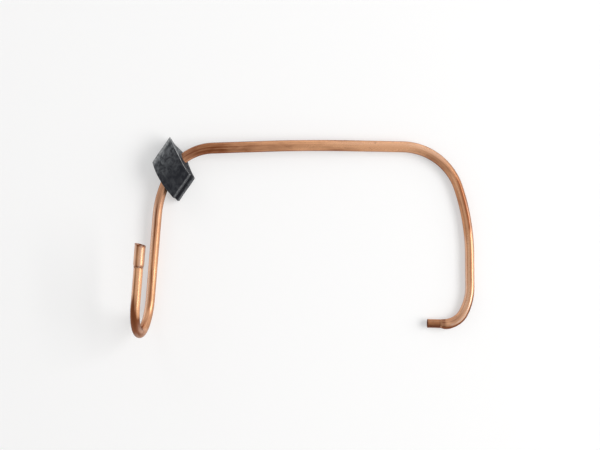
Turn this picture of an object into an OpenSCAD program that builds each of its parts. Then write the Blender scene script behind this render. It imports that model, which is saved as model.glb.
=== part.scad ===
// Bent copper connecting pipe for a refrigeration or heat pump circuit. One end carries a socket that
// takes a straight tube end, the other a reduced spigot, and a split rubber damper block is pushed
// over the bend between them. The pipe is drawn as it lies on a table, +Z up and its long run along X,
// with the origin on the table under the middle of the whole part.
//
// The pipe is set out the way a tube bender works. Each row of the route feeds a straight length,
// rolls the bend plane about the tube, and bends to a centre line radius and an angle.

/* [Tube] */
// Outside diameter of the tube
tube_od = 9.52; // [8:0.01:12.7]
// Wall of the tube
tube_wall = 0.71; // [0.5:0.01:1]
// Height of the faint rings that the bender's clamp leaves at the ends of a bend
mark_h = 0.02; // [0.01:0.01:0.04]
// Width of those rings
mark_w = 0.4; // [0.2:0.1:0.8]

/* [Spigot end] */
// Wall of the spigot
spigot_wall = 0.7; // [0.5:0.01:1]
// Length of the spigot that stands out of the tube
spigot_free_l = 13.5; // [8:0.5:40]
// Length of the spigot inside the tube
spigot_lap_l = 3; // [2:0.5:3.5]
// How much the free end of the spigot is sized up past the part that is brazed in
sizing_h = 0.2; // [0.16:0.01:0.3]
// Width of the broken edge at the tip of the spigot
spigot_edge_w = 0.25; // [0.1:0.05:0.4]
// Length over which the tube end is necked down onto the spigot
neck_l = 2.5; // [2:0.1:4]
// Wall that is left at the tip of the neck
neck_wall = 0.4; // [0.3:0.05:0.6]
// Straight tube between the neck and the first bend
tail_l = 0.5; // [0.5:0.5:40]
// Angle of the spigot below the long run, seen from above
tail_a = 1.5; // [0:0.5:10]

/* [Foot bend and right leg] */
// Centre line radius of the foot bend
foot_bend_r = 19.5; // [16:0.5:40]
// Angle of the foot bend
foot_bend_a = 63.5; // [50:0.5:70]
// Centre line radius where the foot bend opens out into the right leg
foot_ease_r = 53; // [30:1:100]
// Angle of that opening bend
foot_ease_a = 28.5; // [15:0.5:40]
// Straight length of the right leg
right_leg_l = 29.5; // [10:0.5:120]

/* [Upper right bend] */
// Roll of the bend plane that lifts the long run off the table towards the left
run_lift_a = 1.61; // [0.5:0.01:3]
// Centre line radius where the right leg starts to lean in
lean_bend_r = 206; // [120:1:300]
// Angle of that slow bend
lean_bend_a = 18; // [10:0.5:24]
// Centre line radius of the corner above it
corner_bend_r = 57; // [40:1:80]
// Angle of that corner
corner_bend_a = 70.5; // [60:0.5:80]

/* [Long run] */
// Straight length on each side of the middle of the long run
run_half_l = 50.5; // [20:0.5:120]
// Centre line radius of the slight bow in the middle
bow_r = 1500; // [1000:10:2000]
// Angle of that bow
bow_a = 3; // [1:0.5:4]

/* [Upper left bend] */
// Roll of the bend plane that lets the left leg down onto the table
leg_drop_a = 3.46; // [2:0.02:6]
// Centre line radius of the bend under the damper block
crook_bend_r = 48; // [40:1:80]
// Angle of that bend
crook_bend_a = 59; // [50:0.5:70]
// Centre line radius where that bend eases out into the left leg
ease_bend_r = 100; // [80:1:200]
// Angle of that easing bend
ease_bend_a = 24; // [15:0.5:30]
// Straight length of the left leg
left_leg_l = 78; // [50:0.5:140]

/* [U bend and socket leg] */
// Roll that stands the U bend almost upright on the table
u_roll_a = 98; // [85:0.5:100]
// Centre line radius of the U bend
u_bend_r = 28.5; // [22:0.5:40]
// Angle of the U bend
u_bend_a = 180; // [170:0.5:185]
// Length of the socket leg up to the end of the tube
socket_leg_l = 44; // [20:0.5:100]

/* [Socket] */
// Length of the socket
socket_l = 20; // [16:0.5:30]
// Length of the socket that is brazed over the tube
socket_lap_l = 9; // [6:0.5:12]
// Wall of the socket
socket_wall = 0.62; // [0.5:0.01:1.2]
// Height of the ridge inside the socket that both tube ends stop against
stop_h = 0.4; // [0.2:0.05:0.6]
// Width of that ridge
stop_w = 0.6; // [0.3:0.1:1.5]
// How far the lip of the mouth stands proud of the socket
lip_h = 0.2; // [0.1:0.05:0.4]
// Width of the lip and depth of the lead-in chamfer in the mouth
lip_w = 0.8; // [0.5:0.1:1.5]
// Length of the taper from the socket out to the lip
flare_l = 0.8; // [0.4:0.1:2]
// Length of the rounded-down edge where the tube enters the socket
shoulder_l = 2; // [0.4:0.1:3]

/* [Brazing] */
// Radial gap that the braze alloy fills between two tubes
braze_gap = 0.08; // [0.05:0.01:0.1]
// Length of a braze fillet along the smaller tube
fillet_l = 1.4; // [0.8:0.1:2]
// Clearance between a fillet and the tube inside it
fillet_seat = 0.02; // [0.01:0.01:0.05]

/* [Damper block] */
// Angle round the crook bend at which the block sits
block_at_a = 53; // [40:1:56]
// Tilt of the block about the tube
block_tilt_a = 6; // [0:0.5:8]
// Thickness of the block, through the two jaws
block_t = 21; // [18:0.5:26]
// Width of the block along the tube
block_w = 28; // [20:0.2:36]
// From the tube to the closed end of the block
block_back_l = 18; // [14:0.2:24]
// From the tube to the open end of the front jaw
block_front_l = 17.6; // [12:0.2:24]
// How much longer the back jaw is than the front jaw
jaw_step_l = 3.6; // [0:0.2:5]
// Corner angle of the block, which is cut on the skew
block_skew_a = 65; // [60:0.5:90]
// Offset of the block along the tube from the middle of its seat
block_shift = -1.4; // [-4:0.2:4]
// Rise of the bulged side that faces the left leg
block_bulge = 2.9; // [0.2:0.1:4]
// Rise of the crowned front face
block_crown = 0.6; // [0.2:0.1:1.5]
// Width of the slit where it meets the bore
slit_w = 0.9; // [0.6:0.1:1.6]
// Width of the mouth of the slit at the open end
slit_mouth_w = 2.2; // [1.6:0.1:4]
// Clearance between the tube and the bore of the block
grip_gap = 0.1; // [0.05:0.01:0.2]

/* [Hidden] */
round_facets = 72;
bend_facets = 360;
fillet_step_a = 15;   // spacing of the points of a braze fillet
arc_step_a = 2;       // spacing of the points that measure a bend
$fn = round_facets;

copper = [0.78, 0.46, 0.30];
braze_alloy = [0.80, 0.66, 0.44];
rubber = [0.22, 0.23, 0.25];

tube_r = tube_od / 2;
bore_r = tube_r - tube_wall;
spigot_r = bore_r - braze_gap;
spigot_seat_r = spigot_r - sizing_h;
neck_r = bore_r + neck_wall;
socket_bore_r = tube_r + braze_gap;
socket_r = socket_bore_r + socket_wall;

// Feed, roll, centre line radius and angle of each bend, from the spigot end to the socket end
route = [
    [neck_l + tail_l, 0, foot_bend_r, foot_bend_a],
    [0, 0, foot_ease_r, foot_ease_a],
    [right_leg_l, run_lift_a, lean_bend_r, lean_bend_a],
    [0, 0, corner_bend_r, corner_bend_a],
    [run_half_l, 0, bow_r, bow_a],
    [run_half_l, -leg_drop_a, crook_bend_r, crook_bend_a],
    [0, 0, ease_bend_r, ease_bend_a],
    [left_leg_l, u_roll_a, u_bend_r, u_bend_a],
    [socket_leg_l, 0, 0, 0]
];
CROOK = 5;            // row of the bend under the damper block
EASE = CROOK + 1;     // row of the bend that eases out of it
END = len(route);
ALL_ROWS = [0:END - 1];

// ---- Where the route goes, worked out in numbers to find the middle of the part ----

// Radius of the circle whose arc rises by rise over a chord
function arc_r(chord, rise) = (chord * chord / 4 + rise * rise) / (2 * rise);

// Matrix that turns by a about Z
function turn_z(a) = [[cos(a), -sin(a), 0, 0], [sin(a), cos(a), 0, 0], [0, 0, 1, 0], [0, 0, 0, 1]];

// Matrix that turns by a about the tube, which runs along X
function turn_x(a) = [[1, 0, 0, 0], [0, cos(a), -sin(a), 0], [0, sin(a), cos(a), 0], [0, 0, 0, 1]];

// Matrix that moves by x and y
function shift(x, y) = [[1, 0, 0, x], [0, 1, 0, y], [0, 0, 1, 0], [0, 0, 0, 1]];

// Matrix from the start of a route row to a point a degrees round its bend
function along(row, a) = shift(row[0], 0) * turn_x(row[1]) * shift(0, row[2]) * turn_z(a) * shift(0, -row[2]);

// Matrix from the spigot end of the tube to the start of route row n
function start_of(n) = n == 0 ? turn_z(-tail_a) : start_of(n - 1) * along(route[n - 1], route[n - 1][3]);

// Place in the part of a point that is given in a matrix's own frame
function placed(m, p) = [for (k = [0:2]) (m * [p.x, p.y, p.z, 1])[k]];

centre_line = [
    for (n = ALL_ROWS)
        for (a = [0:arc_step_a:route[n][3]])
            placed(start_of(n) * along(route[n], a), [0, 0, 0])
];
block_frame = start_of(CROOK) * along(route[CROOK], block_at_a) * turn_x(block_tilt_a);
block_corners = [
    for (edge = [-block_back_l, block_front_l + jaw_step_l], side = [-1, 1])
        placed(block_frame, [skewed(edge) + side * block_w / 2, edge, -block_t / 2])
];
low_x = min([for (p = centre_line) p.x]) - tube_r;
high_x = max([for (p = centre_line) p.x]) + tube_r;
low_y = min([for (p = centre_line) p.y]) - tube_r;
high_y = max([for (p = block_corners) p.y]);

// ---- How the route is followed by solids ----

// Carries its children over the straight and a degrees round the bend of one route row
module pass(row, a) {
    translate([row[0], 0, 0]) rotate([row[1], 0, 0])
        translate([0, row[2], 0]) rotate([0, 0, a]) translate([0, -row[2], 0]) children();
}

// Carries its children to the start of route row n
module ride_to(n) {
    if (n == 0) children();
    else ride_to(n - 1) pass(route[n - 1], route[n - 1][3]) children();
}

// Sets the whole part on the table, with the origin under its middle
module on_table() {
    translate([-(low_x + high_x) / 2, -(low_y + high_y) / 2, tube_r]) rotate([0, 0, -tail_a]) children();
}

// Turns a shape that is drawn along Z so that it runs along the tube
module along_tube() {
    rotate([0, 90, 0]) children();
}

// Cross-section of a tube, or of a solid rod where inner is 0
module ring(outer, inner) {
    difference() {
        circle(r = outer);
        if (inner > 0) circle(r = inner);
    }
}

// Straight stretch of tube from x = from to x = to
module straight(from, to, outer, inner) {
    translate([from, 0, 0]) along_tube() linear_extrude(to - from) ring(outer, inner);
}

// Faint ring that the bender's clamp leaves where a bend meets a straight
module clamp_mark(x, outer, inner) {
    straight(x - mark_w / 2, x + mark_w / 2, outer + mark_h, max(inner - mark_h, 0));
}

// Bend of one route row, which starts where its straight ends
module bend(row, outer, inner) {
    translate([row[0], 0, 0]) rotate([row[1], 0, 0]) translate([0, row[2], 0]) rotate([0, 0, -90])
        rotate_extrude(angle = row[3], $fn = bend_facets) translate([row[2], 0])
            ring(outer, inner, $fn = round_facets);
}

// Tube, or rod where inner is 0, along the given rows of the route
module tube_rows(rows, outer, inner) {
    for (n = rows) ride_to(n) {
        row = route[n];
        if (row[0] > 0 && n > 0) {
            straight(0, row[0], outer, inner);
            clamp_mark(0, outer, inner);
        }
        if (row[3] > 0) {
            bend(row, outer, inner);
            clamp_mark(row[0], outer, inner);
        }
    }
}

// ---- The pieces ----

// Tail of the tube, necked down onto the spigot at its end
module tail() {
    along_tube() rotate_extrude() polygon([
        [bore_r, 0],
        [neck_r, 0],
        [tube_r, neck_l],
        [tube_r, neck_l + tail_l],
        [bore_r, neck_l + tail_l]
    ]);
}

module pipe() {
    color(copper) on_table() {
        tail();
        tube_rows(ALL_ROWS, tube_r, bore_r);
    }
}

// Reduced end that plugs into the next fitting
module spigot() {
    inner = spigot_r - spigot_wall;
    color(copper) on_table() along_tube() rotate_extrude() polygon([
        [inner, -spigot_free_l],
        [spigot_r - spigot_edge_w, -spigot_free_l],
        [spigot_r, -spigot_free_l + spigot_edge_w],
        [spigot_r, -fillet_l],
        [spigot_seat_r, -fillet_l],
        [spigot_seat_r, spigot_lap_l],
        [inner, spigot_lap_l]
    ]);
}

// Cross-section of a hollow fillet between a step of radius high and a tube of radius low
module fillet_section(low, high) {
    rise = high - low;
    polygon(concat(
        [[low, 0]],
        [for (a = [90:-fillet_step_a:0]) [high - rise * sin(a), fillet_l * (1 - cos(a))]]
    ));
}

// Ring of braze alloy where the spigot leaves the neck
module spigot_braze() {
    color(braze_alloy) on_table() rotate([0, -90, 0]) rotate_extrude()
        fillet_section(spigot_seat_r + fillet_seat, neck_r);
}

// Sleeve brazed over the end of the tube, with a lip round its open mouth
module socket() {
    mouth = socket_l - socket_lap_l;
    color(copper) on_table() ride_to(END) along_tube() rotate_extrude() polygon([
        [socket_bore_r, -socket_lap_l],
        [socket_r - lip_h, -socket_lap_l],
        [socket_r, -socket_lap_l + shoulder_l],
        [socket_r, mouth - lip_w - flare_l],
        [socket_r + lip_h, mouth - lip_w],
        [socket_r + lip_h, mouth - lip_h],
        [socket_r, mouth],
        [socket_bore_r + lip_h, mouth],
        [socket_bore_r, mouth - lip_h],
        [socket_bore_r, stop_w],
        [socket_bore_r - stop_h, stop_w],
        [socket_bore_r - stop_h, 0],
        [socket_bore_r, 0]
    ]);
}

// Ring of braze alloy where the tube enters the socket
module socket_braze() {
    color(braze_alloy) on_table() ride_to(END) translate([-socket_lap_l, 0, 0]) rotate([0, -90, 0])
        rotate_extrude() fillet_section(tube_r + fillet_seat, socket_r - lip_h);
}

// Place along the tube of the middle of the block, y away from the tube
function skewed(y) = block_shift + y / tan(block_skew_a);

// Outline of the block seen from the front, a parallelogram whose far side is an arc over its two corners
module block_outline() {
    low = -block_back_l;
    high = block_front_l + jaw_step_l;
    chord = (high - low) / sin(block_skew_a);
    bulge_r = arc_r(chord, block_bulge);
    middle = (low + high) / 2;
    intersection() {
        polygon([
            for (y = [low, high]) [skewed(y) - block_w / 2, y],
            for (y = [high, low]) [skewed(y) + block_w, y]
        ]);
        translate([skewed(middle) + block_w / 2, middle]) rotate(block_skew_a - 90)
            translate([block_bulge - bulge_r, 0]) circle(r = bulge_r, $fn = bend_facets);
    }
}

// Outline of the block seen along the tube: two jaws, the slit between them and a crowned front
module jaw_outline() {
    low = -block_back_l;
    back = -block_t / 2;
    front_end = block_front_l;
    back_end = block_front_l + jaw_step_l;
    crown_r = arc_r(front_end - low, block_crown);
    intersection() {
        polygon([
            [low, back], [back_end, back], [back_end, -slit_mouth_w / 2], [0, -slit_w / 2],
            [0, slit_w / 2], [front_end, slit_mouth_w / 2], [front_end, block_t / 2], [low, block_t / 2]
        ]);
        translate([(low + front_end) / 2, block_t / 2 - crown_r]) circle(r = crown_r, $fn = bend_facets);
    }
}

module damper_block() {
    reach = block_w + block_back_l + block_front_l;
    color(rubber) on_table() difference() {
        ride_to(CROOK) pass(route[CROOK], block_at_a) rotate([block_tilt_a, 0, 0]) intersection() {
            translate([0, 0, -block_t]) linear_extrude(2 * block_t) block_outline();
            translate([-reach, 0, 0]) rotate([90, 0, 90]) linear_extrude(2 * reach) jaw_outline();
        }
        tube_rows([CROOK, EASE], tube_r + grip_gap, 0);
    }
}

pipe();
socket();
socket_braze();
spigot();
spigot_braze();
damper_block();
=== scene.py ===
import math

import bmesh
import bpy
import numpy as np
from mathutils import Matrix, Vector


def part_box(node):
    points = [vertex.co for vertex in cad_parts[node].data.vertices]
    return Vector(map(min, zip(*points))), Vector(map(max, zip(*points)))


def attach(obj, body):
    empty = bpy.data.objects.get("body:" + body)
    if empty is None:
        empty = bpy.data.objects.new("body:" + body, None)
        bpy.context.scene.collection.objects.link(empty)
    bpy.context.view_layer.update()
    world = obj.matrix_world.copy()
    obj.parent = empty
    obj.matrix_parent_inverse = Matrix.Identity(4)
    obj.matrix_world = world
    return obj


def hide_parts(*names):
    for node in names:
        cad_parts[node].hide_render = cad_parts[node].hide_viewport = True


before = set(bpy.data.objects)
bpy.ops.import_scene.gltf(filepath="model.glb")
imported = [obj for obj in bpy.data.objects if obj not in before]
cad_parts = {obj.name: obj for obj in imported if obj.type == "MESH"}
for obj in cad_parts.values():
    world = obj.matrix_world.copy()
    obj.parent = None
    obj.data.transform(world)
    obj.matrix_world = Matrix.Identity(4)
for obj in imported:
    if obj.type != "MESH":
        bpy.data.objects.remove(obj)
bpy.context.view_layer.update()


# ---- The bent pipe ----
# A length of drawn copper tube, bent cold on a rotary bender and necked down at its spigot end. It is bare metal,
# turned brown by handling and by the heat of the brazing, and bending has left its section a little oval.
# Painted shade and painted highlights are laid into its colour as well.

TUBE_R = 4.76e-3
BORE_R = 4.05e-3
# Feed and roll before each bend, then its centre line radius and angle
ROUTE = [
    (3.0e-3, 0.0, 19.5e-3, 63.5),
    (0.0, 0.0, 53e-3, 28.5),
    (29.5e-3, 1.61, 206e-3, 18.0),
    (0.0, 0.0, 57e-3, 70.5),
    (50.5e-3, 0.0, 1500e-3, 3.0),
    (50.5e-3, -3.46, 48e-3, 59.0),
    (0.0, 0.0, 100e-3, 24.0),
    (78e-3, 98.0, 28.5e-3, 180.0),
    (44e-3, 0.0, 0.0, 0.0),
]
TAIL_HEADING = -1.5
CROOK_ROW = 5
# Shares of the radius that the bent tube has lost across X and gained across Y, and the lengths over which that sets in
OVAL_X, OVAL_Y = 0.10, 0.09
OVAL_START = (6e-3, 46e-3)
# The neck is long on the side towards the arch, and short and full on the side away from it
NECK_R = 4.35e-3
SHORT_NECK_L = 3.0e-3
LONG_NECK_L = 10.0e-3
HEEL_H = 0.30e-3
CRIMP_H = 0.22e-3
WALL_WAVE = 0.028e-3
RIM_L = 0.3e-3
STRAIGHT_STEPS, BEND_STEPS = 60, 240
AROUND = 72
OUTSIDE_ROWS, INSIDE_ROWS = 840, 210


def eased(value, low, high):
    """0 below low, 1 above high, and a smooth step between."""
    share = np.clip((value - low) / (high - low), 0, 1)
    return share * share * (3 - 2 * share)


def between(value, rise, fall):
    """1 between two smooth steps, up over the first pair of marks and down over the second."""
    return eased(value, *rise) * (1 - eased(value, *fall))


def hump(value, centre, width):
    """A bell: 1 at the centre, and e to the power of minus the squared distance in widths beside it."""
    return np.exp(-((value - centre) / width) ** 2)


def bent_route(rows, heading):
    """Centre line of a tube that is fed, rolled and bent row by row. On a straight the point moves ahead by the feed.
    On a bend it is the start, plus the radius times the sine of the turn ahead, plus the radius times one minus its
    cosine to the side. The two section axes turn with the bends but not with the rolls, so the section has no twist."""
    turn = math.radians(heading)
    place, ahead = np.zeros(3), np.array([math.cos(turn), math.sin(turn), 0.0])
    side, up = np.array([-math.sin(turn), math.cos(turn), 0.0]), np.array([0.0, 0.0, 1.0])
    rolled, starts, places, sides, ups = 0.0, [], [], [], []
    for feed, roll, radius, angle in rows:
        straight = np.linspace(0, feed, STRAIGHT_STEPS)[:, None]
        places.append(place + straight * ahead)
        sides.append(side * math.cos(rolled) - up * math.sin(rolled) + 0 * straight)
        ups.append(side * math.sin(rolled) + up * math.cos(rolled) + 0 * straight)
        place = place + feed * ahead
        tip = math.radians(roll)
        side, up = side * math.cos(tip) + up * math.sin(tip), up * math.cos(tip) - side * math.sin(tip)
        rolled += tip
        starts.append((place, ahead, side, up))
        if angle:
            bend = np.linspace(0, math.radians(angle), BEND_STEPS)[:, None]
            places.append(place + radius * (np.sin(bend) * ahead + (1 - np.cos(bend)) * side))
            turned = side * np.cos(bend) - ahead * np.sin(bend)
            sides.append(turned * math.cos(rolled) - up * math.sin(rolled))
            ups.append(turned * math.sin(rolled) + up * math.cos(rolled))
            end = bend[-1, 0]
            place, ahead, side = places[-1][-1], ahead * math.cos(end) + side * math.sin(end), turned[-1]
    places, sides, ups = map(np.concatenate, (places, sides, ups))
    gone = np.concatenate([[0], np.cumsum(np.linalg.norm(np.diff(places, axis=0), axis=1))])
    keep = np.concatenate([[True], np.diff(gone) > 1e-7])
    return gone[keep], places[keep], sides[keep], ups[keep], starts, (place, ahead)


gone, line, line_side, line_up, bend_starts, tube_end = bent_route(ROUTE, TAIL_HEADING)
# The table is under the lowest part of the tube, and the CAD box says where the middle is
pipe_low = np.array(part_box("pipe")[0])
to_part = np.array([pipe_low[0] + TUBE_R, pipe_low[1] + TUBE_R, TUBE_R]) - [line[:, 0].min(), line[:, 1].min(), 0]
line = line + to_part
TUBE_L = gone[-1]


def on_line(values, at):
    """Value of a per-point array of the centre line at the given lengths along it, by linear interpolation."""
    return np.stack([np.interp(at, gone, values[:, k]) for k in range(3)], axis=-1)


def ovality(at):
    """How far the section is stretched along X, Y and Z at a length along the tube: none at the spigot end, and
    past the foot bend wider across the table on the long run and narrower on the legs."""
    grown = eased(at, *OVAL_START)
    return np.stack([1 - OVAL_X * grown, 1 + OVAL_Y * grown, np.ones_like(grown)], axis=-1)


def ripple(around, along, waves, seed):
    """Smooth unevenness of a tube wall between -1 and 1: a mean of sines of whole turns around plus waves along."""
    dice = np.random.default_rng(seed)
    total = np.zeros(np.broadcast(around, along).shape)
    for turns, pitch in waves:
        total = total + np.sin(turns * around + along * 2 * math.pi / pitch + dice.uniform(0, 2 * math.pi))
    return total / len(waves)


def tube_points(at, around, radius):
    """Points of a tube wall: the centre line point, plus the radius times the cosine of the angle on one section axis
    and its sine on the other, stretched by the ovality."""
    at, around, radius = np.broadcast_arrays(at, around, radius)
    spoke = np.cos(around)[..., None] * on_line(line_side, at) + np.sin(around)[..., None] * on_line(line_up, at)
    return on_line(line, at) + radius[..., None] * spoke * ovality(at)


def closed_rings(name, points, folded=False):
    """Mesh of a grid of points whose columns close round into rings. Its last row joins its first, or else the first
    and last rows are folded flat, each onto a line."""
    rows, columns = points.shape[:2]
    index = np.arange(rows * columns).reshape(rows, columns)
    if not folded:
        index = np.vstack([index, index[:1]])
    a, b = index[:-1], index[1:]
    quads = np.stack([a, np.roll(a, -1, 1), np.roll(b, -1, 1), b], axis=-1).ravel()
    mesh = bpy.data.meshes.new(name)
    mesh.vertices.add(rows * columns)
    mesh.vertices.foreach_set("co", points.astype(np.float32).ravel())
    mesh.loops.add(quads.size)
    mesh.loops.foreach_set("vertex_index", quads.astype(np.int32))
    mesh.polygons.add(quads.size // 4)
    mesh.polygons.foreach_set("loop_start", np.arange(0, quads.size, 4, dtype=np.int32))
    mesh.update(calc_edges=True)
    mesh.validate()
    mesh.shade_smooth()
    piece = bpy.data.objects.new(name, mesh)
    bpy.context.scene.collection.objects.link(piece)
    return piece


def note_vector(piece, name, *parts):
    """Keeps a vector of three parts at each point of a piece for its material to read."""
    kept = piece.data.attributes.new(name, "FLOAT_VECTOR", "POINT")
    kept.data.foreach_set("vector", np.stack(np.broadcast_arrays(*parts), axis=-1).astype(np.float32).ravel())


class Value:
    """A socket of a finish. Arithmetic on it adds Math nodes."""

    def __init__(self, finish, socket):
        self.finish, self.socket = finish, socket

    def math(self, operation, *terms):
        return self.finish.add("ShaderNodeMath", {"operation": operation}, dict(enumerate(terms)))

    def __add__(self, other):
        return self.math("ADD", self, other)

    def __mul__(self, other):
        return self.math("MULTIPLY", self, other)

    def __sub__(self, other):
        return self.math("SUBTRACT", self, other)

    def __rsub__(self, other):
        return self.math("SUBTRACT", other, self)

    __radd__, __rmul__ = __add__, __mul__


class Finish:
    """The node tree of a procedural surface finish, or of the room, built node by node."""

    def __init__(self, owner):
        self.owner = owner
        owner.use_nodes = True
        self.tree = owner.node_tree
        self.tree.nodes.clear()

    def add(self, kind, settings=None, inputs=None, output=0):
        """Adds a node: its settings first, then the values or links of its sockets. Gives one output."""
        node = self.tree.nodes.new(kind)
        for name, value in (settings or {}).items():
            if name == "stops":
                ramp = node.color_ramp.elements
                while len(ramp) < len(value):
                    ramp.new(0.5)
                for stop, (place, shade) in zip(ramp, value):
                    stop.position = place
                    stop.color = (*shade, 1) if isinstance(shade, tuple) else (shade, shade, shade, 1)
            else:
                setattr(node, name, value)
        for name, value in (inputs or {}).items():
            if isinstance(value, Value):
                self.tree.links.new(value.socket, node.inputs[name])
            else:
                node.inputs[name].default_value = value
        return Value(self, node.outputs[output])

    def stretched(self, vector, scale):
        """The vector with each part multiplied by its own scale."""
        return self.add("ShaderNodeVectorMath", {"operation": "MULTIPLY"}, {0: vector, 1: scale})

    def cloud(self, vector, scale, detail=4.0, rough=0.55, swirl=0.0):
        """Fractal noise from 0 to 1."""
        return self.add("ShaderNodeTexNoise", {}, {"Vector": vector, "Scale": scale, "Detail": detail,
                                                   "Roughness": rough, "Distortion": swirl})

    def ramp(self, value, *stops):
        """The value sent through evenly eased stops of (place, brightness)."""
        return self.add("ShaderNodeValToRGB", {"stops": stops}, {0: value})

    def blend(self, amount, first, second):
        """Colour between two colours by the amount."""
        return self.add("ShaderNodeMix", {"data_type": "RGBA"}, {0: amount, 6: first, 7: second}, output=2)

    def end(self, shader, kind="ShaderNodeOutputMaterial"):
        """Ends the tree in a shader."""
        self.tree.links.new(shader.socket, self.tree.nodes.new(kind).inputs["Surface"])
        return self.owner

    def surface(self, linked, fixed):
        """Ends the finish in a Principled surface, with the linked sockets and the fixed ones."""
        return self.end(self.add("ShaderNodeBsdfPrincipled", {}, {**fixed, **linked}))


SPOT_BROWN = (0.30, 0.12, 0.07, 1)
EDGE_TINT = (0.50, 0.40, 0.35, 1)


def copper_finish(name, fresh, brown, haze, roughness):
    """Drawn copper: long fine draw lines, cloudy brown tarnish that follows the noted amount, a pale haze, small
    spots, and faint dents in the bump. The noted vector 'drawn' holds the wall straightened out, and 'state' the
    tarnish and the haze, which also carry painted shade and painted highlights."""
    made = Finish(bpy.data.materials.new(name))
    drawn = made.add("ShaderNodeAttribute", {"attribute_name": "drawn"}, output=1)
    state = made.add("ShaderNodeAttribute", {"attribute_name": "state"}, output=1)
    tarnish = made.add("ShaderNodeSeparateXYZ", {}, {0: state})
    pale = made.add("ShaderNodeSeparateXYZ", {}, {0: state}, output=1)
    clouds = made.cloud(made.stretched(drawn, (1.0, 1.0, 0.35)), scale=150.0, detail=5.0, rough=0.6, swirl=0.6)
    lines = made.cloud(made.stretched(drawn, (1.0, 1.0, 0.012)), scale=900.0, detail=3.0, rough=0.6)
    grain = made.cloud(made.stretched(drawn, (1.0, 1.0, 0.2)), scale=1500.0, detail=3.0, rough=0.7)
    spots = made.ramp(made.cloud(drawn, scale=420.0, detail=2.0, rough=0.5), (0.66, 0.0), (0.74, 1.0))
    amount = tarnish + (clouds - 0.5) * 0.95 + (lines - 0.5) * 1.1
    amount = amount.math("MINIMUM", amount.math("MAXIMUM", amount, 0.0), 1.0)
    colour = made.blend(amount, (*fresh, 1), (*brown, 1))
    colour = made.blend(pale * (0.2 + clouds * 0.8), colour, (*haze, 1))
    colour = made.blend(spots * 0.35, colour, SPOT_BROWN)
    rough = roughness + (clouds - 0.5) * 0.18 + (grain - 0.5) * 0.12 + tarnish * 0.10
    height = lines * 0.35 + grain * 0.10 + clouds * 1.2
    bump = made.add("ShaderNodeBump", {}, {"Strength": 0.35, "Distance": 5e-5, "Height": height})
    return made.surface({"Base Color": colour, "Roughness": rough, "Normal": bump},
                        {"Metallic": 1.0, "Specular IOR Level": 0.5, "Specular Tint": EDGE_TINT,
                         "Coat Weight": 0.35, "Coat Roughness": 0.22})


around = np.arange(AROUND) * 2 * math.pi / AROUND
outside = np.linspace(0, TUBE_L, OUTSIDE_ROWS)
inside = np.linspace(TUBE_L - RIM_L, RIM_L, INSIDE_ROWS)
lie = outside[:, None]
far_side = (1 - np.cos(around)) / 2
neck = eased(lie, 0, LONG_NECK_L + (SHORT_NECK_L - LONG_NECK_L) * far_side)
outer_r = (
    NECK_R + (TUBE_R - NECK_R) * neck + HEEL_H * hump(lie, 6.0e-3, 3.5e-3) * far_side ** 3
    + WALL_WAVE * ripple(around, lie, [(2, 31e-3), (3, 47e-3), (1, 19e-3), (2, -67e-3)], 5)
    + CRIMP_H * hump(lie, 2.5e-3, 2.6e-3) * ripple(around, lie, [(5, 9e-3), (3, -7e-3), (6, 30e-3)], 8)
)
pipe = closed_rings("bent_pipe", np.concatenate([
    tube_points(lie, around, outer_r),
    tube_points(TUBE_L, around, np.linspace(TUBE_R, BORE_R, 4)[1:3, None]),
    tube_points(inside[:, None], around, BORE_R),
    tube_points(0.0, around, np.linspace(BORE_R, NECK_R, 4)[1:3, None]),
]))
pipe_lengths = np.concatenate([outside, [TUBE_L] * 2, inside, [0] * 2])


def note_state(piece, lengths, radius, tarnish, haze):
    """Notes the straightened wall, radius times cosine and sine and the length along, and at each point the tarnish
    and the haze, which also carry painted shade and painted highlights."""
    note_vector(piece, "drawn", radius * np.cos(around), radius * np.sin(around), lengths[:, None])
    note_vector(piece, "state", tarnish, haze, 0.0)


# Tarnish at lengths along the tube in millimetres: from the heat-tinted neck, over the long run that browns to the
# left, to the U bend. Painted shade and painted highlights along the tube are folded into it too; the dip below 0
# near 212 to 255 is a painted highlight on the long run. 0 is fresh and 1 is brown.
TARNISH_AND_PAINTED_LIGHT = np.array([
    (0, 0.42), (7, 0.42), (16, 0.34), (30, 0.22), (60, 0.26), (92, 0.36), (115, 0.60), (130, 0.72), (150, 0.50),
    (165, 0.46), (195, 0.13), (212, -0.28), (228, -0.28), (255, -0.14), (290, 0.22), (345, 0.46), (375, 0.66),
    (395, 0.86), (410, 0.84), (430, 0.58), (452, 0.58), (475, 0.60), (490, 0.42), (530, 0.17), (552, 0.20), (570, 0.29),
    (585, 0.38), (597, 0.42), (606, 0.36), (612, 0.42), (618, 0.66), (632, 0.93), (642, 0.92), (650, 0.76), (658, 0.50),
    (665, 0.28), (680, 0.04), (705, -0.08),
])
# Pale haze at lengths along the tube, which whitens the legs and the foot of the U bend
HAZE = np.array([
    (0, 0.1), (30, 0.33), (50, 0.22), (70, 0.08), (90, 0.0), (150, 0.0), (175, 0.05), (200, 0.1), (240, 0.05),
    (290, 0.0), (400, 0.0), (474, 0.25), (500, 0.1), (560, 0.05), (590, 0.1), (612, 0.1), (630, 0.05), (645, 0.0),
    (665, 0.1), (705, 0.1),
])
MOST_HAZE = 1.3
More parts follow.
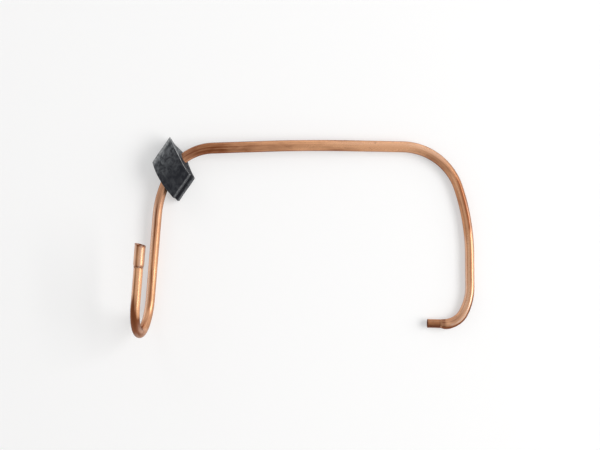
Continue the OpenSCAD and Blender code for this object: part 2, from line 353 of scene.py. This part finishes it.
# Streaks along each leg and bend: painted shade and painted highlights that stand in for the dark and bright bands
# the round tube mirrors. Each row: where it starts and ends along the tube, how far it lies towards +X in shares of the
# radius, how wide it is in the same shares, and how much tarnish and haze it adds.
STREAKS = (
    (0.020, 0.105, 0.14, 0.16, 0.34, -0.30), (0.020, 0.105, -0.38, 0.17, -0.60, 0.38),
    (0.020, 0.105, -0.62, 0.10, 0.10, 0.0), (0.045, 0.140, 0.60, 0.13, -0.12, 0.60),
    (0.030, 0.105, -0.92, 0.12, 0.0, 0.85), (0.095, 0.165, 0.34, 0.25, 0.56, -0.10),
    (0.095, 0.165, -0.28, 0.22, -0.60, 0.10), (0.468, 0.550, -0.16, 0.17, 0.60, -0.15),
    (0.530, 0.585, 0.02, 0.16, 0.50, -0.10), (0.468, 0.600, -0.64, 0.22, -0.45, 0.95),
    (0.645, 0.705, -0.36, 0.16, 0.66, -0.20), (0.656, 0.705, 0.08, 0.18, -0.25, 0.0),
    (0.650, 0.705, -0.82, 0.18, -0.30, 0.95),
)
STREAK_FADE = 15e-3
# Stretches of the tube: the lengths along it over which each one sets in, and over which it fades out
FOOT_END = (0.030, 0.055)
LONG_RUN = ((0.140, 0.165), (0.400, 0.420))
RIGHT_BEND = ((0.160, 0.185), (0.270, 0.300))
RIGHT_BEND_HALF = (0.198, 0.215)
U_FOOT = ((0.595, 0.610), (0.632, 0.645))
U_STRIPE = ((0.598, 0.606), (0.628, 0.642))
U_PAINTED_HIGHLIGHT = ((0.638, 0.646), (0.655, 0.670))
HEAT_START, HEAT_END, HEAT_LEAN, HEAT_FADE = (0.612, 0.630), 0.652, 0.011, 0.005

lengths = pipe_lengths[:, None]
facing = np.cos(around)[:, None] * on_line(line_side, lengths) + np.sin(around)[:, None] * on_line(line_up, lengths)
facing_x, facing_y, facing_z = np.moveaxis(facing, -1, 0)
on_top = facing_z > 0
tarnish_and_painted_light = np.interp(lengths, TARNISH_AND_PAINTED_LIGHT[:, 0] * 1e-3, TARNISH_AND_PAINTED_LIGHT[:, 1]) + np.zeros_like(facing_x)
haze_and_painted_highlight = np.interp(lengths, HAZE[:, 0] * 1e-3, HAZE[:, 1]) + np.zeros_like(facing_x)
for first, last, towards_x, width, dark, pale in STREAKS:
    there = between(lengths, (first, first + STREAK_FADE), (last - STREAK_FADE, last))
    streak = there * hump(facing_x, towards_x, width) * on_top
    tarnish_and_painted_light += dark * streak
    haze_and_painted_highlight += pale * streak
# Painted shade darkens the flanks of the long run
tarnish_and_painted_light += 0.45 * between(lengths, *LONG_RUN) * (1 - eased(facing_z, 0.30, 0.62))
# Painted light on the foot bend: painted shade on its outside, a painted highlight as a pale stripe beside that, and a
# little painted shade on its inside
foot = 1 - eased(lengths, *FOOT_END)
outward = -np.cos(around)
tarnish_and_painted_light += foot * (0.95 * eased(outward, 0.54, 0.70) + 0.20 * eased(-outward, 0.1, 0.4))
foot_painted_highlight = foot * eased(lengths, 0.010, 0.018) * hump(outward, 0.34, 0.15)
tarnish_and_painted_light -= 0.55 * foot_painted_highlight
haze_and_painted_highlight = np.clip(haze_and_painted_highlight + 1.4 * foot_painted_highlight, 0, MOST_HAZE) * (1 - foot * eased(outward, 0.46, 0.60))
# The crimped neck has painted shade in its crease and on its outside and a painted highlight on top, and is whitish
# where the solder has run
crease = hump(lengths, 2.0e-3, 1.8e-3)
golden = hump(lengths, 6.0e-3, 3.0e-3) * hump(outward, -0.25, 0.30)
neck_outside = (1 - eased(lengths, 0.006, 0.012)) * eased(outward, 0.25, 0.50)
solder = hump(lengths, 9.5e-3, 2.0e-3) * hump(outward, 0.25, 0.18)
tarnish_and_painted_light += 0.40 * crease - 0.45 * golden + 0.30 * neck_outside
haze_and_painted_highlight = np.clip(haze_and_painted_highlight + 0.7 * solder, 0, MOST_HAZE)
# The heat of the socket's brazing has turned the U bend brown, further up on its side towards -X. A painted highlight
# lightens its side towards +X again.
heat_end = HEAT_END - HEAT_LEAN * facing_x
tarnish_and_painted_light += 0.45 * between(lengths, HEAT_START, (heat_end - HEAT_FADE, heat_end + HEAT_FADE))
tarnish_and_painted_light -= 0.55 * between(lengths, *U_PAINTED_HIGHLIGHT) * eased(facing_x, 0.2, 0.5)
# A painted highlight, a pale stripe, crosses the U bend and runs on along its inside. The heading of that inside, in
# degrees off +X, and the stripe's place towards it, in shares of the radius, go by the length along the tube.
heading = np.radians(np.interp(lengths, (0.606, 0.614, 0.622, 0.630), (133, 81, 31, 13)))
inner_side = facing_x * np.cos(heading) + facing_y * np.sin(heading)
stripe_place = np.interp(lengths, (0.604, 0.607, 0.614, 0.630), (-0.55, -0.25, 0.85, 0.70))
stripe = between(lengths, *U_STRIPE) * hump(inner_side, stripe_place, 0.30) * on_top
tarnish_and_painted_light -= 0.60 * stripe
haze_and_painted_highlight += 0.50 * stripe
# Painted light on the right bend: a painted highlight as a pale band on its upper half, painted shade on its lower
# side, and further on painted shade on its upper edge too.
mixed, early = between(lengths, *RIGHT_BEND), 1 - eased(lengths, *RIGHT_BEND_HALF)
tarnish_and_painted_light += 0.38 * mixed * early * eased(-facing_y, 0.0, 0.5)
tarnish_and_painted_light += mixed * (1 - early) * (0.45 * eased(-facing_y, 0.15, 0.90) + 0.35 * eased(facing_y, 0.35, 0.75))
haze_and_painted_highlight += mixed * (0.25 + 0.25 * early) * hump(facing_y, 0.42, 0.36) * on_top
# The lowest edge of the U bend is paler
haze_and_painted_highlight = np.maximum(haze_and_painted_highlight, 0.75 * between(lengths, *U_FOOT) * eased(-facing_y, 0.72, 0.97))
note_state(pipe, pipe_lengths, TUBE_R, tarnish_and_painted_light, haze_and_painted_highlight)
pipe.data.materials.append(
    copper_finish("drawn_copper", (0.95, 0.495, 0.262), (0.24, 0.067, 0.018), (0.85, 0.63, 0.52), 0.27))
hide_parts("pipe")
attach(pipe, "root")


# ---- The spigot ----
# A short end of smaller copper tube, cut square, deburred and brazed into the necked tail of the pipe.

SPIGOT_R = 3.97e-3
SPIGOT_BORE_R = 3.27e-3
SPIGOT_L = 13.5e-3
SPIGOT_LAP = 3e-3
SPIGOT_OVAL = 1.03
SPIGOT_WAVE = 0.035e-3
# Where the end pieces lie in the straightened pattern, clear of the pipe
SPIGOT_PATTERN, SOCKET_PATTERN = 0.9, 1.3

spigot_rows = np.array(
    [(-SPIGOT_L, SPIGOT_BORE_R + 0.15e-3), (-SPIGOT_L - 0.02e-3, SPIGOT_R - 0.25e-3),
     (-SPIGOT_L + 0.12e-3, SPIGOT_R - 0.08e-3)]
    + [(x, SPIGOT_R) for x in np.linspace(-SPIGOT_L + 0.3e-3, SPIGOT_LAP, 48)]
    + [(SPIGOT_LAP, SPIGOT_BORE_R)]
    + [(x, SPIGOT_BORE_R) for x in np.linspace(SPIGOT_LAP - 0.3e-3, -SPIGOT_L + 0.2e-3, 24)]
)


def turned_piece(name, profile, start, ahead, side, up, unevenness, slant=0.0):
    """A ring-shaped piece on the tube's axis: each profile row is a length ahead of the start and a radius, turned
    once round. Each ring is a closed loop of points, and the last row joins the first."""
    x, r = profile[:, :1] + slant, profile[:, 1:] + unevenness
    spoke = np.cos(around)[:, None] * side + np.sin(around)[:, None] * up
    return closed_rings(name, start + x[..., None] * ahead + r[..., None] * spoke)


spigot_start, spigot_ahead = line[0], (line[1] - line[0]) / np.linalg.norm(line[1] - line[0])
spigot_side, spigot_up = line_side[0] * SPIGOT_OVAL, line_up[0]
dents = SPIGOT_WAVE * ripple(around, spigot_rows[:, :1], [(2, 21e-3), (3, 9e-3), (4, -13e-3)], 12)
spigot = turned_piece("spigot_end", spigot_rows, spigot_start, spigot_ahead, spigot_side, spigot_up, dents)
# Painted shade makes its cut rim and its bore nearly black and darkens its lower side, with a dark line along it. A
# painted highlight lies as haze along its upper side.
rim_shade = np.interp(spigot_rows[:, :1], [-SPIGOT_L, -SPIGOT_L + 0.5e-3, -3e-3, 0], [2.2, 0.70, 0.66, 0.95])
rim_shade = np.where(spigot_rows[:, 1:] < SPIGOT_R - 0.3e-3, 1.6, rim_shade)
low_side = -(np.cos(around) * line_side[0, 1] + np.sin(around) * line_up[0, 1])
rim_shade = rim_shade + 0.25 * low_side + 0.60 * hump(low_side, 0.62, 0.16)
note_state(spigot, spigot_rows[:, 0] + SPIGOT_PATTERN, SPIGOT_R, rim_shade, 0.35 * hump(low_side, -0.60, 0.15))
spigot.data.materials.append(
    copper_finish("reddened_copper", (0.82, 0.37, 0.16), (0.17, 0.050, 0.020), (0.80, 0.52, 0.38), 0.26))
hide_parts("spigot")
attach(spigot, "root")


# ---- The socket ----
# The sleeve at the other end, expanded from copper tube over a mandrel and brazed on. Its lip is rolled slightly
# outwards, and a ridge inside stops both tube ends.

SOCKET_R = 5.46e-3
SOCKET_BORE_R = 4.84e-3
SOCKET_LAP = 9e-3
SOCKET_MOUTH = 11e-3
LIP_H = 0.2e-3
MOUTH_SLANT = 0.8e-3

SOCKET_WAVE = 0.04e-3
MOUTH_WAVE = 0.06e-3
RIDGE_H = 0.4e-3
SHOULDER_L = 2.4e-3
SHOULDER_STEP = 0.16e-3

rise = np.linspace(0, 1, 12)
shoulder = list(zip(
    -SOCKET_LAP + SHOULDER_L * rise,
    TUBE_R + SHOULDER_STEP + (SOCKET_R - TUBE_R - SHOULDER_STEP) * np.sin(rise * math.pi / 2) ** 1.3))
socket_rows = np.array(
    shoulder
    + [(x, SOCKET_R) for x in np.linspace(-SOCKET_LAP + SHOULDER_L + 0.3e-3, SOCKET_MOUTH - 1.9e-3, 42)]
    + [(SOCKET_MOUTH - 1.2e-3, SOCKET_R + 0.08e-3), (SOCKET_MOUTH - 0.6e-3, SOCKET_R + LIP_H),
       (SOCKET_MOUTH - 0.2e-3, SOCKET_R + LIP_H), (SOCKET_MOUTH, SOCKET_R), (SOCKET_MOUTH, SOCKET_BORE_R + LIP_H),
       (SOCKET_MOUTH - 0.2e-3, SOCKET_BORE_R)]
    + [(x, SOCKET_BORE_R) for x in np.linspace(SOCKET_MOUTH - 1e-3, 0.8e-3, 20)]
    + [(0.6e-3, SOCKET_BORE_R - RIDGE_H), (0.0, SOCKET_BORE_R - RIDGE_H), (-0.05e-3, SOCKET_BORE_R)]
    + [(x, SOCKET_BORE_R) for x in np.linspace(-1e-3, -SOCKET_LAP + 0.1e-3, 12)]
)
socket_start, socket_ahead = tube_end[0] + to_part, tube_end[1]
squeeze = ovality(np.array(TUBE_L))
socket_side, socket_up = line_side[-1] * squeeze, line_up[-1] * squeeze
along = socket_rows[:, :1]
dents = SOCKET_WAVE * ripple(around, along, [(2, 25e-3), (3, 11e-3), (1, -17e-3)], 21)
dents = dents + MOUTH_WAVE * hump(along, SOCKET_MOUTH, 2e-3) * ripple(around, along, [(2, 50e-3), (3, 60e-3)], 22)
# The mouth was sawn a little on the slant, further out on the side towards -X
socket_x = np.cos(around) * line_side[-1, 0] + np.sin(around) * line_up[-1, 0]
slant = -MOUTH_SLANT * eased(along, SOCKET_MOUTH - 6e-3, SOCKET_MOUTH) * socket_x
socket = turned_piece("socket_sleeve", socket_rows, socket_start, socket_ahead, socket_side, socket_up, dents, slant)
# Painted shade darkens its mouth and its bore, a line down it and its edge towards +X. A painted highlight lies as
# haze between them, and a painted reflection at both edges.
mouth_shade = np.interp(
    along, [-SOCKET_LAP, -SOCKET_LAP + 2e-3, 0, SOCKET_MOUTH - 1.5e-3, SOCKET_MOUTH - 0.3e-3],
    [0.6, 0.28, 0.12, 0.32, 1.9])
mouth_shade = np.where(socket_rows[:, 1:] < SOCKET_R - 0.3e-3, 1.5, mouth_shade)
mouth_shade = mouth_shade + 0.50 * hump(socket_x, -0.33, 0.16) + 0.25 * eased(socket_x, 0.72, 0.85)
socket_painted_highlight = (0.75 * hump(socket_x, 0.32, 0.26) + 0.9 * eased(-socket_x, 0.46, 0.62)
          + 0.35 * eased(socket_x, 0.72, 0.85))
note_state(socket, socket_rows[:, 0] + SOCKET_PATTERN, SOCKET_R, mouth_shade, socket_painted_highlight)
socket.data.materials.append(
    copper_finish("annealed_copper", (0.94, 0.50, 0.27), (0.26, 0.075, 0.020), (0.85, 0.62, 0.50), 0.27))
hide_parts("socket")
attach(socket, "root")


# ---- The braze beads ----
# Rings of copper and silver braze alloy, run in with a torch and left as they froze: uneven, dull, and with a little
# pale flux beside them.

BEAD_L = 1.4e-3
BEAD_WAVE = 0.09e-3
BEAD_TUCK = 0.1e-3


def braze_finish(name, metal, flux):
    """Frozen braze: lumpy bump, metal mottled with darker skin, and pale rough flux in spots."""
    made = Finish(bpy.data.materials.new(name))
    place = made.add("ShaderNodeTexCoord", output=3)
    lumps = made.cloud(place, scale=900.0, detail=4.0, rough=0.6, swirl=0.4)
    spots = made.ramp(made.cloud(place, scale=1400.0, detail=3.0), (0.56, 0.0), (0.66, 1.0))
    colour = made.blend(lumps, (*metal, 1), (metal[0] * 0.45, metal[1] * 0.38, metal[2] * 0.34, 1))
    colour = made.blend(spots * 0.7, colour, (*flux, 1))
    bump = made.add("ShaderNodeBump", {}, {"Strength": 0.6, "Distance": 1e-4, "Height": lumps})
    return made.surface({"Base Color": colour, "Roughness": 0.38 + spots * 0.4, "Metallic": 1.0 - spots * 0.8,
                         "Normal": bump}, {"Specular IOR Level": 0.5})


def braze_bead(name, low, high, start, ahead, side, up, seed):
    """A bead that climbs from the tube of radius low to the step of radius high as a quarter hollow, with an
    uneven toe."""
    hollow = np.linspace(0, math.pi / 2, 10)
    rows = np.stack([BEAD_L * (1 - np.cos(hollow)), high - (high - low) * np.sin(hollow)], axis=-1)
    tucked = [(BEAD_L * 0.6, low - BEAD_TUCK), (-BEAD_TUCK, low - BEAD_TUCK), (-BEAD_TUCK, high - BEAD_TUCK)]
    rows = np.concatenate([rows, tucked])
    lumps = BEAD_WAVE * ripple(around, rows[:, :1], [(3, 9e-3), (5, 14e-3), (8, 5e-3), (2, 8e-3)], seed)
    lumps[-len(tucked):] = 0
    return turned_piece(name, rows, start, ahead, side, up, lumps)


spigot_bead = braze_bead(
    "spigot_braze_bead", SPIGOT_R, NECK_R, spigot_start, -spigot_ahead, spigot_side, -spigot_up, 31)
socket_bead = braze_bead(
    "socket_braze_bead", TUBE_R, TUBE_R + 2 * SHOULDER_STEP, socket_start - SOCKET_LAP * socket_ahead,
    -socket_ahead, socket_side, -socket_up, 32)
for bead, node in ((spigot_bead, "spigot_braze"), (socket_bead, "socket_braze")):
    bead.data.materials.append(braze_finish(node + "_metal", (0.60, 0.30, 0.16), (0.62, 0.52, 0.44)))
    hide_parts(node)
    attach(bead, "root")


# ---- The damper block ----
# A block of filled butyl rubber, cut on the skew from an extruded strip and slit from one side to a bore, so that it
# can be pushed over the bend. Its front jaw is shorter than its back jaw. Dusting and a painted sheen grey the skin.

BLOCK_AT = 53.0
BLOCK_TILT = 6.0
BLOCK_T = 21e-3
BLOCK_W = 28e-3
BLOCK_BACK = 18.6e-3
BLOCK_FRONT = 17.6e-3
JAW_STEP = 3.1e-3
BLOCK_SKEW = 65.0
BLOCK_SHIFT = -1.4e-3
BLOCK_BULGE = 3.2e-3
BLOCK_CROWN = 0.6e-3
FRONT_HOLLOW = 1.8e-3
BACK_SWELL = 1.7e-3
BLOCK_TAPER = 0.10
CORNER_TRIM = 2.4e-3
SLIT_W = 0.9e-3
SLIT_MOUTH = 2.2e-3
GRIP_R = TUBE_R + 0.1e-3
GRIP_FADE = 8e-3
BLOCK_REACH = 30e-3
EDGE_ROUND = 0.55e-3
BACK_ROUND = 1.3e-3
BACK_DROP = 0.45e-3
FACE_WAVE, SIDE_WAVE = 0.10e-3, 0.08e-3
STRIP_POINTS = 200
JAW_SHARE = 0.3
JAW_POINTS = 16
CROWN_POINTS = 60
BLOCK_ROWS = 60
ROUND_ROWS = 6
CUT_ROWS = 8


def even_path(corners, count):
    """Points at even steps along a broken line, from its first corner to its last."""
    corners = np.array(corners)
    lengths = np.concatenate([[0], np.cumsum(np.linalg.norm(np.diff(corners, axis=0), axis=1))])
    even = np.linspace(0, lengths[-1], count)
    return np.stack([np.interp(even, lengths, corners[:, k]) for k in (0, 1)], axis=-1)


def block_strip():
    """Cross-section of the block as a strip bent round the bore: its outer edge runs from the front jaw over the
    crown, down the closed back and out to the back jaw, and its inner edge along the slit, round the bore and out."""
    top, ends = BLOCK_T / 2, BLOCK_FRONT + JAW_STEP
    across = np.linspace(0, 1, CROWN_POINTS)
    crown = np.stack([BLOCK_FRONT - across * (BLOCK_FRONT + BLOCK_BACK),
                      top - BLOCK_CROWN * (2 * across - 1) ** 2], axis=-1)
    over = crown[crown[:, 0] > -BLOCK_BACK + BACK_ROUND]
    corner = np.linspace(0, math.pi / 2, 12)
    corner = np.stack([-BLOCK_BACK + BACK_ROUND * (1 - np.sin(corner)),
                       top - BACK_DROP - BACK_ROUND * (1 - np.cos(corner))], axis=-1)
    side = round(STRIP_POINTS * JAW_SHARE)
    round_bore = STRIP_POINTS - 2 * side
    jaw, behind = over[over[:, 0] >= 0], over[over[:, 0] < 0]
    outer = np.concatenate([
        even_path(jaw, side),
        even_path([*behind, *corner, (-BLOCK_BACK, -top), (0, -top)], round_bore + 2)[1:-1],
        even_path([(0, -top), (ends, -top)], side),
    ])
    slit_a = math.asin(SLIT_W / 2 / GRIP_R)
    bore_a = np.linspace(slit_a, 2 * math.pi - slit_a, round_bore)
    inner = np.concatenate([
        even_path([(BLOCK_FRONT, SLIT_MOUTH / 2), (GRIP_R, SLIT_W / 2)], side),
        np.stack([GRIP_R * np.cos(bore_a), GRIP_R * np.sin(bore_a)], -1),
        even_path([(GRIP_R, -SLIT_W / 2), (ends, -SLIT_MOUTH / 2)], side),
    ])
    return outer, inner


def section_point(strip, u, v):
    """Point of the cross-section at a share u along the strip and a share v from its outer to its inner edge."""
    outer, inner = strip
    steps = np.linspace(0, 1, STRIP_POINTS)
    edges = [np.stack([np.interp(u, steps, edge[:, k]) for k in (0, 1)], -1) for edge in (outer, inner)]
    return edges[0] * (1 - v[..., None]) + edges[1] * v[..., None]


start, ahead, side, up = bend_starts[CROOK_ROW]
at = math.radians(BLOCK_AT)
crook_r = ROUTE[CROOK_ROW][2]
block_place = start + to_part + crook_r * (math.sin(at) * ahead + (1 - math.cos(at)) * side)
block_ahead, block_side = ahead * math.cos(at) + side * math.sin(at), side * math.cos(at) - ahead * math.sin(at)
tilt = math.radians(BLOCK_TILT)
block_side, block_up = (block_side * math.cos(tilt) + up * math.sin(tilt),
                        up * math.cos(tilt) - block_side * math.sin(tilt))

# Once round the cross-section: along the outer edge, across the back jaw's end, back along the inner edge, across
# the front jaw's end
along_u, across_v = np.linspace(0, 1, STRIP_POINTS), np.linspace(0, 1, JAW_POINTS)[1:-1]
loop_u = np.concatenate([along_u, 0 * across_v + 1, along_u[::-1], 0 * across_v])
loop_v = np.concatenate([0 * along_u, across_v, 0 * along_u + 1, across_v[::-1]])
strip = block_strip()
loop = section_point(strip, loop_u, loop_v)
# The strip's corners are slightly soft
for _ in range(3):
    loop = (np.roll(loop, 1, 0) + 2 * loop + np.roll(loop, -1, 0)) / 4
tangent = np.roll(loop, -1, 0) - np.roll(loop, 1, 0)
tangent /= np.linalg.norm(tangent, axis=1, keepdims=True)
inward = np.stack([-tangent[:, 1], tangent[:, 0]], axis=-1)
# Rows from the cut side towards -X to the other, rounded over at both
rounding = np.linspace(0, math.pi / 2, ROUND_ROWS)
round_in, round_x = EDGE_ROUND * (1 - np.sin(rounding)), EDGE_ROUND * (1 - np.cos(rounding))
middle = np.linspace(EDGE_ROUND, BLOCK_W - EDGE_ROUND, BLOCK_ROWS)[1:-1]
row_in = np.concatenate([round_in, 0 * middle, round_in[::-1]])
row_x = np.concatenate([round_x, middle, BLOCK_W - round_x[::-1]])
section = loop + row_in[:, None, None] * inward
# The two cut sides: the loop shrinks onto the middle line of the strip
shrink = np.linspace(1, 0, CUT_ROWS + 1)[:-1, None, None]
core = section_point(strip, np.clip(loop_u, 0.04, 0.96), np.full_like(loop_v, 0.5))
cut = shrink * core + (1 - shrink) * section[:1]
section = np.concatenate([cut, section, cut[::-1]])
row_in = np.pad(row_in, CUT_ROWS, constant_values=EDGE_ROUND)[:, None]
row_x = np.pad(row_x, CUT_ROWS, constant_values=(0, BLOCK_W))[:, None]
y, z = section[..., 0], section[..., 1]
# Shares from the back to the front, across the width, and from the table up
share = (y + BLOCK_BACK) / (BLOCK_BACK + BLOCK_FRONT + JAW_STEP)
far, height = row_x / BLOCK_W, np.clip(z / BLOCK_T + 0.5, 0, 1)
low_near = (1 - far) * (1 - height)
bulge = BLOCK_BULGE * (1 - 0.32 * eased(share, 0.5, 0.8))
x = BLOCK_SHIFT + y / math.tan(math.radians(BLOCK_SKEW))
x = x + (row_x - BLOCK_W / 2) * (1 + BLOCK_TAPER * (0.45 - share))
x = x + 4 * share * (1 - share) * (far * bulge + (1 - far) * FRONT_HOLLOW * height)
x = x + low_near * (CORNER_TRIM * (1 - eased(share, 0.0, 0.4)) - BACK_SWELL * hump(share, 0.5, 0.24))
# The bore follows the bend of the tube, and the rest of the block stays straight
beside = (line - block_place) @ np.stack([block_ahead, block_side, block_up], axis=-1)
near = np.abs(gone - gone[np.argmin(np.linalg.norm(beside, axis=1))]) < BLOCK_REACH
order = np.argsort(beside[near, 0])
hold = np.clip(1 - (np.hypot(y, z) - GRIP_R * 1.1) / GRIP_FADE, 0, 1)
y = y + hold * np.interp(x, beside[near, 0][order], beside[near, 1][order])
z = z + hold * np.interp(x, beside[near, 0][order], beside[near, 2][order])
# Its faces are slightly wavy
wave = np.sin(x * 310 + 1.0) * np.sin(y * 260 + 2.0) + np.sin(x * 170 - y * 230)
z = z + FACE_WAVE * wave * (1 - hold)
y = y + SIDE_WAVE * np.sin(x * 340 + 0.5) * (1 - hold)
points = block_place + x[..., None] * block_ahead + y[..., None] * block_side + z[..., None] * block_up
block = closed_rings("rubber_block", points, folded=True)

# Pale edges are noted along the outer edges of the strip's corners and where the rows round over to the cut sides:
# partly worn rubber, partly a painted highlight where the edges catch the light, stronger along the upper edges
turned = np.roll(tangent, -1, 0) - np.roll(tangent, 1, 0)
on_outside = (loop_v < 0.5) | (loop_u < 0.02) | (loop_u > 0.98)
sharp = np.clip(np.linalg.norm(turned, axis=1) * 1.4, 0, 1) * on_outside
sharp = np.maximum.reduce([np.roll(sharp, k) for k in (-1, 0, 1)])
edge_rows = np.clip(row_in / EDGE_ROUND * 1.5, 0, 1) * (row_in < EDGE_ROUND * 0.99)
wear = np.maximum(sharp * (row_in < EDGE_ROUND), edge_rows * on_outside)
wear = wear * (0.2 + 0.8 * eased(loop[:, 1], 0.5e-3, 3e-3)) * (1 - 0.7 * eased(share, 0.82, 0.92))
wear = wear * (1 + 0.8 * (row_x < EDGE_ROUND))
# Dusting and a painted sheen lie on the back half, thickest on the cut side towards -X, where the sheen is painted
# light on that face, and on the back jaw's step. Little lies low down at the back.
dust_and_sheen = np.maximum(1 - eased(share, 0.02, 0.50), 1.6 * (1 - eased(share, 0.38, 0.50)) * (row_x < 0.3 * EDGE_ROUND))
dust_and_sheen = np.maximum(dust_and_sheen, 0.55 * (y > BLOCK_FRONT + 2e-3))
dust_and_sheen = dust_and_sheen * (1 - 0.7 * (1 - eased(share, 0.02, 0.08)) * (1 - eased(height, 0.80, 0.97)))
note_vector(block, "wear", wear, dust_and_sheen, 0.0)
clean = bmesh.new()
clean.from_mesh(block.data)
bmesh.ops.remove_doubles(clean, verts=clean.verts, dist=1e-6)
clean.to_mesh(block.data)
clean.free()


def rubber_finish(name, skin, dust_and_sheen_grey, worn_and_lit_edge):
    """Filled butyl rubber: near-black skin with a cloudy grey bloom that thickens where dusting and painted sheen are
    noted, smears from rubbing, pale edges that are partly worn and partly a painted highlight, and fine pits."""
    made = Finish(bpy.data.materials.new(name))
    place = made.add("ShaderNodeTexCoord", output=3)
    noted = made.add("ShaderNodeAttribute", {"attribute_name": "wear"}, output=1)
    wear = made.add("ShaderNodeSeparateXYZ", {}, {0: noted})
    dust_and_sheen = made.add("ShaderNodeSeparateXYZ", {}, {0: noted}, output=1)
    bloom = made.ramp(made.cloud(place, scale=150.0, detail=3.0, swirl=1.2), (0.42, 0.0), (0.62, 1.0))
    smear = made.cloud(made.stretched(place, (1.0, 0.45, 1.0)), scale=240.0, detail=2.5, swirl=1.5)
    smear = made.ramp(smear, (0.50, 0.0), (0.66, 1.0))
    pits = made.cloud(place, scale=1500.0, detail=3.0, rough=0.7)
    chips = made.ramp(made.cloud(place, scale=700.0, detail=3.0, rough=0.6), (0.38, 0.3), (0.60, 1.0))
    greyed = (bloom * 0.55 + smear * 0.55) * (0.19 + dust_and_sheen * 0.74) + dust_and_sheen * 0.12
    colour = made.blend(greyed, (*skin, 1), (*dust_and_sheen_grey, 1))
    colour = made.blend(wear * chips, colour, (*worn_and_lit_edge, 1))
    rough = 0.70 - smear * 0.14 + (pits - 0.5) * 0.2
    height = pits * 0.25 + bloom * 0.6 + smear * 0.5
    bump = made.add("ShaderNodeBump", {}, {"Strength": 0.5, "Distance": 1.2e-4, "Height": height})
    return made.surface({"Base Color": colour, "Roughness": rough, "Normal": bump}, {"Specular IOR Level": 0.26})


# The middle grey stands for the dusting and the painted sheen, and the palest grey for worn edges and their painted
# highlight
block.data.materials.append(
    rubber_finish("bloomed_rubber", (0.010, 0.011, 0.015), (0.17, 0.18, 0.19), (0.42, 0.43, 0.435)))
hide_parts("damper_block")
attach(block, "root")


# ---- The table, the light and the camera ----
# A white table top, a wide key light and a softbox from the right, a small light low from the upper left, and a pale
# room. The camera looks straight down.

TABLE = 3.0
TABLE_Z = -0.04e-3
TABLE_WHITE = (0.955, 0.955, 0.955, 1)
TABLE_GLOW = 0.42
# The room's light on the part, and how pale it looks. What the metal mirrors is brighter towards +X and +Y, and dimmer
# overhead.
ROOM_FILL = 0.56
ROOM_SEEN = 0.95
ROOM_SLOPE = (0.20, 0.13, -0.13)


def seen_directly(tree):
    """1 for rays from the camera, and 1 for rays that a shiny surface mirrors."""
    return [tree.add("ShaderNodeLightPath", output=k) for k in (0, 3)]


table_mesh = bpy.data.meshes.new("table_top")
table_mesh.from_pydata(
    [(x * TABLE, y * TABLE, TABLE_Z) for x, y in ((-1, -1), (1, -1), (1, 1), (-1, 1))], [], [(0, 1, 2, 3)])
table = bpy.data.objects.new("table_top", table_mesh)
bpy.context.scene.collection.objects.link(table)
# Part of the white is a plain glow that only the camera and the metal see, so shadows stay soft and pale
paper = Finish(bpy.data.materials.new("white_table"))
lit = paper.add("ShaderNodeBsdfDiffuse", {}, {"Color": TABLE_WHITE})
white = paper.add("ShaderNodeEmission", {}, {"Color": (1, 1, 1, 1), "Strength": 1.0})
camera_ray, glossy_ray = seen_directly(paper)
glow = camera_ray.math("MAXIMUM", camera_ray, glossy_ray) * TABLE_GLOW
table_mesh.materials.append(paper.end(paper.add("ShaderNodeMixShader", {}, {0: glow, 1: lit, 2: white})))


def soft_light(name, azimuth, elevation, distance, size, power, colour, mirrored=True):
    """A flat light, (width, height), that faces the middle of the part from an azimuth off +X and an elevation."""
    lamp = bpy.data.lights.new(name, "AREA")
    lamp.shape, lamp.energy, lamp.color = "RECTANGLE", power, colour
    lamp.size, lamp.size_y = size
    holder = bpy.data.objects.new(name, lamp)
    a, e = math.radians(azimuth), math.radians(elevation)
    towards = Vector((math.cos(a) * math.cos(e), math.sin(a) * math.cos(e), math.sin(e)))
    holder.matrix_world = Matrix.Translation(towards * distance) @ towards.to_track_quat("Z", "Y").to_matrix().to_4x4()
    holder.visible_glossy = mirrored
    bpy.context.scene.collection.objects.link(holder)


soft_light("right_softbox", azimuth=5, elevation=26, distance=2.6, size=(1.86, 1.4), power=18.0,
           colour=(1.0, 0.99, 0.975))
soft_light("key_light", azimuth=3, elevation=45, distance=2.6, size=(2.4, 1.1), power=45.5,
           colour=(1.0, 0.99, 0.98), mirrored=False)
soft_light("left_window", azimuth=130, elevation=30, distance=1.4, size=(0.5, 0.5), power=1.2,
           colour=(0.97, 0.985, 1.0), mirrored=False)

room = Finish(bpy.data.worlds.new("room"))
bpy.context.scene.world = room.owner
camera_ray, glossy_ray = seen_directly(room)
direction = room.add("ShaderNodeTexCoord")
slope = room.add("ShaderNodeVectorMath", {"operation": "DOT_PRODUCT"}, {0: direction, 1: ROOM_SLOPE}, output=1)
fill = room.add("ShaderNodeBackground", {}, {"Strength": ROOM_FILL})
pale = room.add("ShaderNodeBackground", {}, {"Strength": slope * glossy_ray + ROOM_SEEN})
seen = camera_ray.math("MAXIMUM", camera_ray, glossy_ray)
room.end(room.add("ShaderNodeMixShader", {}, {0: seen, 1: fill, 2: pale}), "ShaderNodeOutputWorld")

CAMERA_HEIGHT = 1.1
CAMERA_X, CAMERA_Y = -6.06e-3, 11.06e-3
SENSOR_WIDTH = 36.0
PIXEL = 0.952e-3
IMAGE_WIDTH = 600
eye = bpy.data.cameras.new("camera")
eye.sensor_fit, eye.sensor_width = "HORIZONTAL", SENSOR_WIDTH
eye.lens = SENSOR_WIDTH * CAMERA_HEIGHT / (PIXEL * IMAGE_WIDTH)
eye.clip_start, eye.clip_end = 0.05, 20.0
camera = bpy.data.objects.new("camera", eye)
camera.location = (CAMERA_X, CAMERA_Y, CAMERA_HEIGHT)
bpy.context.scene.collection.objects.link(camera)
bpy.context.scene.camera = camera
bpy.context.scene.view_settings.view_transform = "Standard"
